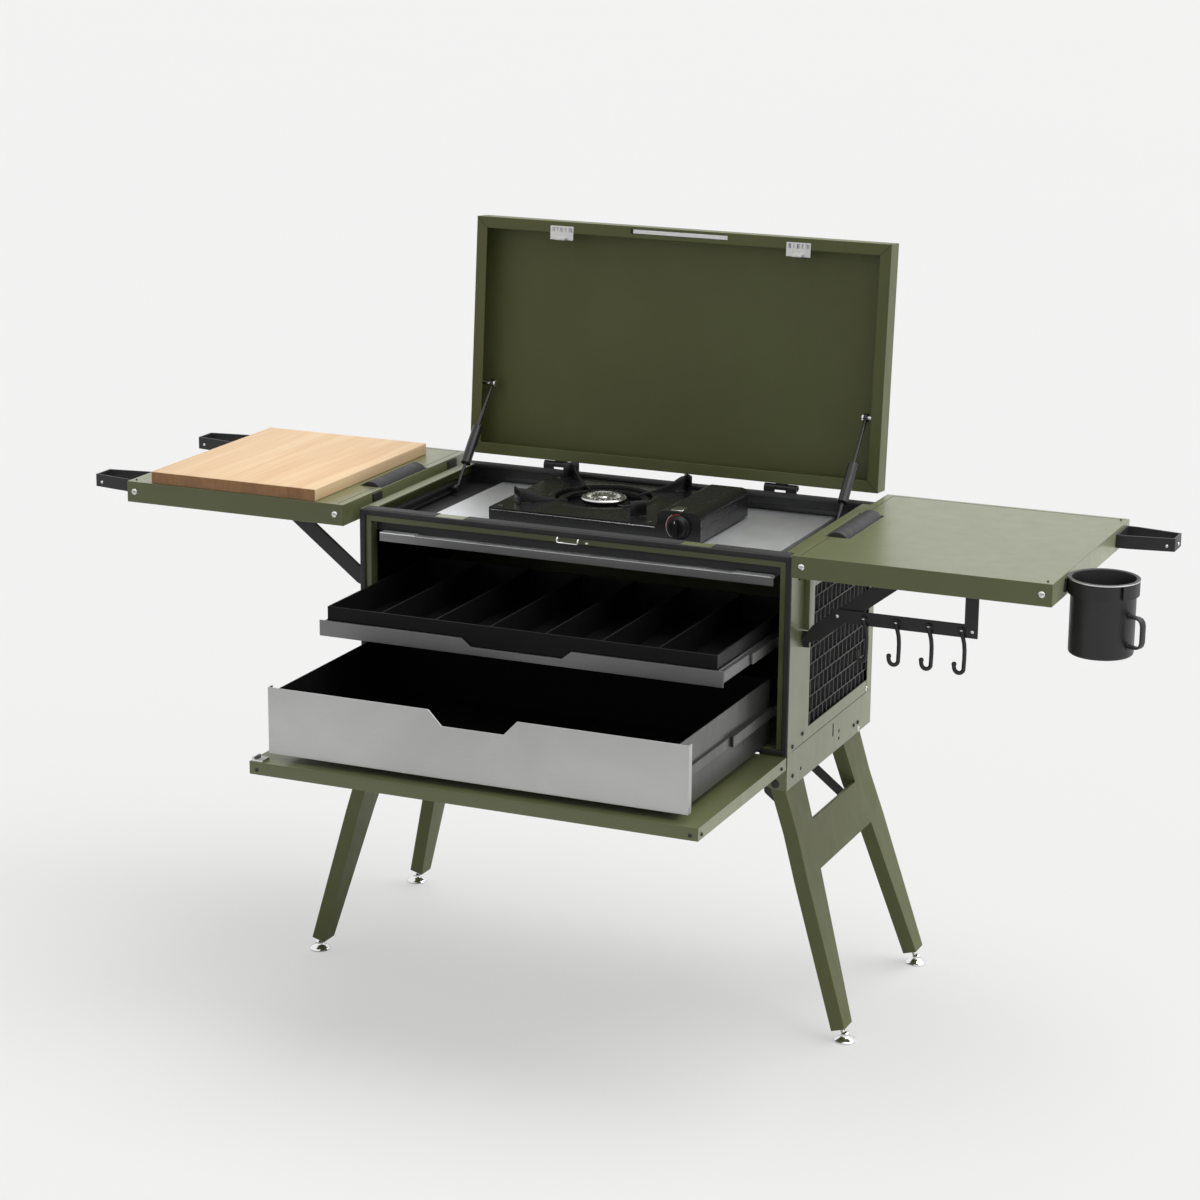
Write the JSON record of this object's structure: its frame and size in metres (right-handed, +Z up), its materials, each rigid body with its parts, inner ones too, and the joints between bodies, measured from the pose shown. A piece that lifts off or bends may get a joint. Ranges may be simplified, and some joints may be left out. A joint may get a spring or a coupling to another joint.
{
  "type": "chuck box",
  "caption": "Folding camp kitchen box on splayed legs, with a lift-up lid, drop-down door, drawers, side wings and a small gas stove.",
  "frame": {"origin": "on the floor, under the middle of the object's box", "axes": "+X to the right seen from the front, +Y to the rear, +Z up"},
  "size_m": [1.6738, 0.7966, 1.1363],
  "materials": {
    "olive_steel": "satin powder coat",
    "black_steel": "fine matt powder coat",
    "brushed": "brushed",
    "dark_sheet": "satin grey-black",
    "rubber": "matt",
    "chrome": "polished",
    "plastic": "matt",
    "enamel": "enamel",
    "bamboo": "oiled"
  },
  "bodies": {
    "cabinet": {"cabinet_floor": "olive_steel", "cabinet_back": "olive_steel", "left_side_panel": "olive_steel", "right_side_panel": "olive_steel", "side_meshes": "black_steel", "front_frame": "olive_steel", "front_seal": "rubber", "front_catch": "brushed", "side_aprons": "olive_steel", "runner_rails": "brushed", "top_tray": "black_steel", "cook_plate": "brushed", "hinge_leaves": "black_steel", "stay_tracks": "black_steel", "leg_rods": "black_steel"},
    "lid": {"lid_shell": "olive_steel", "lid_fittings": "brushed", "lid_hinge_flaps": "black_steel"},
    "left_stay": {"left_lid_stay": "dark_sheet"},
    "right_stay": {"right_lid_stay": "dark_sheet"},
    "left_wing": {"left_wing": "olive_steel", "left_wing_hinge": "black_steel", "left_grip": "rubber", "left_loops": "black_steel"},
    "left_brace": {"left_brace": "black_steel"},
    "right_wing": {"right_wing": "olive_steel", "right_wing_hinge": "black_steel", "right_grip": "rubber", "right_loops": "black_steel", "utensil_rail": "black_steel", "utensil_hooks": "black_steel"},
    "right_brace": {"right_brace": "black_steel"},
    "mug": {"mug": "enamel"},
    "board": {"chopping_board": "bamboo"},
    "door": {"door_tray": "olive_steel", "door_liner": "olive_steel", "door_latch": "brushed"},
    "deep_drawer": {"deep_drawer_front": "brushed", "deep_drawer_box": "dark_sheet", "deep_drawer_rails": "brushed"},
    "deep_slides": {"deep_drawer_slides": "brushed"},
    "cutlery_drawer": {"cutlery_drawer": "brushed", "cutlery_rails": "brushed", "cutlery_insert": "plastic"},
    "cutlery_slides": {"cutlery_slides": "brushed"},
    "left_legs": {"left_leg_frame": "olive_steel", "left_feet": "chrome"},
    "left_links": {"left_leg_links": "black_steel"},
    "left_arms": {"left_leg_arms": "black_steel"},
    "right_legs": {"right_leg_frame": "olive_steel", "right_feet": "chrome"},
    "right_links": {"right_leg_links": "black_steel"},
    "right_arms": {"right_leg_arms": "black_steel"},
    "stove": {"stove_body": "black_steel", "pan_support": "black_steel", "burner": "brushed"},
    "fuel_cover": {"fuel_cover": "black_steel"},
    "stove_knob": {"stove_knob": "plastic"}
  },
  "joints": [
    {"name": "lid_hinge", "type": "hinge", "parent": "cabinet", "child": "lid", "pos_m": [-0.0079, 0.33775, 0.747], "axis": [-1, 0, 0], "range_deg": [-94.5, 0]},
    {"name": "left_stay_turn", "type": "hinge", "parent": "lid", "child": "left_stay", "pos_m": [-0.3279, 0.35613, 0.86592], "axis": [-1, 0, 0], "range_deg": [0, 131.48]},
    {"name": "right_stay_turn", "type": "hinge", "parent": "lid", "child": "right_stay", "pos_m": [0.3121, 0.35613, 0.86592], "axis": [-1, 0, 0], "range_deg": [0, 131.48]},
    {"name": "left_wing_fold", "type": "hinge", "parent": "cabinet", "child": "left_wing", "pos_m": [-0.3634, -0.04825, 0.722], "axis": [0, 1, 0], "range_deg": [-80, 0]},
    {"name": "left_brace_turn", "type": "hinge", "parent": "cabinet", "child": "left_brace", "pos_m": [-0.3634, -0.00325, 0.604], "axis": [0, 1, 0], "range_deg": [-112.11, 0]},
    {"name": "right_wing_fold", "type": "hinge", "parent": "cabinet", "child": "right_wing", "pos_m": [0.3476, -0.04825, 0.722], "axis": [0, -1, 0], "range_deg": [-24, 0]},
    {"name": "right_brace_turn", "type": "hinge", "parent": "cabinet", "child": "right_brace", "pos_m": [0.3476, -0.00325, 0.604], "axis": [0, -1, 0], "range_deg": [-31.23, 0]},
    {"name": "mug_lift", "type": "slide", "parent": "right_wing", "child": "mug", "axis": [0, 0, 1], "range_m": [0, 0.12]},
    {"name": "board_lift", "type": "slide", "parent": "left_wing", "child": "board", "axis": [0, 0, 1], "range_m": [0, 0.1]},
    {"name": "door_hinge", "type": "hinge", "parent": "cabinet", "child": "door", "pos_m": [-0.0079, -0.05225, 0.434], "axis": [1, 0, 0], "range_deg": [-1.4, 0]},
    {"name": "deep_drawer_slide", "type": "slide", "parent": "cabinet", "child": "deep_drawer", "axis": [0, -1, 0], "range_m": [-0.337, 0]},
    {"name": "deep_slides_follow", "type": "slide", "parent": "cabinet", "child": "deep_slides", "axis": [0, -1, 0], "range_m": [-0.1685, 0]},
    {"name": "cutlery_drawer_slide", "type": "slide", "parent": "cabinet", "child": "cutlery_drawer", "axis": [0, -1, 0], "range_m": [-0.194, 0.124]},
    {"name": "cutlery_slides_follow", "type": "slide", "parent": "cabinet", "child": "cutlery_slides", "axis": [0, -1, 0], "range_m": [-0.097, 0.062]},
    {"name": "left_legs_fold", "type": "hinge", "parent": "cabinet", "child": "left_legs", "pos_m": [-0.3309, -0.04825, 0.424], "axis": [0, -1, 0], "range_deg": [0, 106]},
    {"name": "left_links_turn", "type": "hinge", "parent": "left_legs", "child": "left_links", "pos_m": [-0.35846, -0.04825, 0.32787], "axis": [0, -1, 0], "range_deg": [0, 44.87]},
    {"name": "left_arms_turn", "type": "hinge", "parent": "cabinet", "child": "left_arms", "pos_m": [-0.2029, -0.04825, 0.431], "axis": [0, -1, 0], "range_deg": [-26.03, 0]},
    {"name": "right_legs_fold", "type": "hinge", "parent": "cabinet", "child": "right_legs", "pos_m": [0.3241, -0.04825, 0.394], "axis": [0, 1, 0], "range_deg": [0, 106]},
    {"name": "right_links_turn", "type": "hinge", "parent": "right_legs", "child": "right_links", "pos_m": [0.35166, -0.04825, 0.29787], "axis": [0, 1, 0], "range_deg": [0, 26.49]},
    {"name": "right_arms_turn", "type": "hinge", "parent": "cabinet", "child": "right_arms", "pos_m": [0.1971, -0.04825, 0.431], "axis": [0, 1, 0], "range_deg": [-31.89, 0]},
    {"name": "stove_lift", "type": "slide", "parent": "cabinet", "child": "stove", "axis": [0, 0, 1], "range_m": [0, 0.12]},
    {"name": "fuel_cover_hinge", "type": "hinge", "parent": "stove", "child": "fuel_cover", "pos_m": [0.0856, 0.06175, 0.7378], "axis": [0, -1, 0], "range_deg": [0, 75]},
    {"name": "stove_knob_turn", "type": "hinge", "parent": "stove", "child": "stove_knob", "pos_m": [0.1211, 0.06175, 0.737], "axis": [0, -1, 0], "range_deg": [0, 120]}
  ],
  "couplings": [
    {"joint": "left_stay_turn", "follows": "lid_hinge", "ratio": -1.3899},
    {"joint": "right_stay_turn", "follows": "lid_hinge", "ratio": -1.3899},
    {"joint": "left_brace_turn", "follows": "left_wing_fold", "ratio": 1.4},
    {"joint": "right_brace_turn", "follows": "right_wing_fold", "ratio": 1.3},
    {"joint": "deep_slides_follow", "follows": "deep_drawer_slide", "ratio": 0.5},
    {"joint": "cutlery_slides_follow", "follows": "cutlery_drawer_slide", "ratio": 0.5},
    {"joint": "left_links_turn", "follows": "left_legs_fold", "ratio": 0.4229},
    {"joint": "left_arms_turn", "follows": "left_legs_fold", "ratio": -0.2453},
    {"joint": "right_links_turn", "follows": "right_legs_fold", "ratio": 0.2497},
    {"joint": "right_arms_turn", "follows": "right_legs_fold", "ratio": -0.3006}
  ]
}
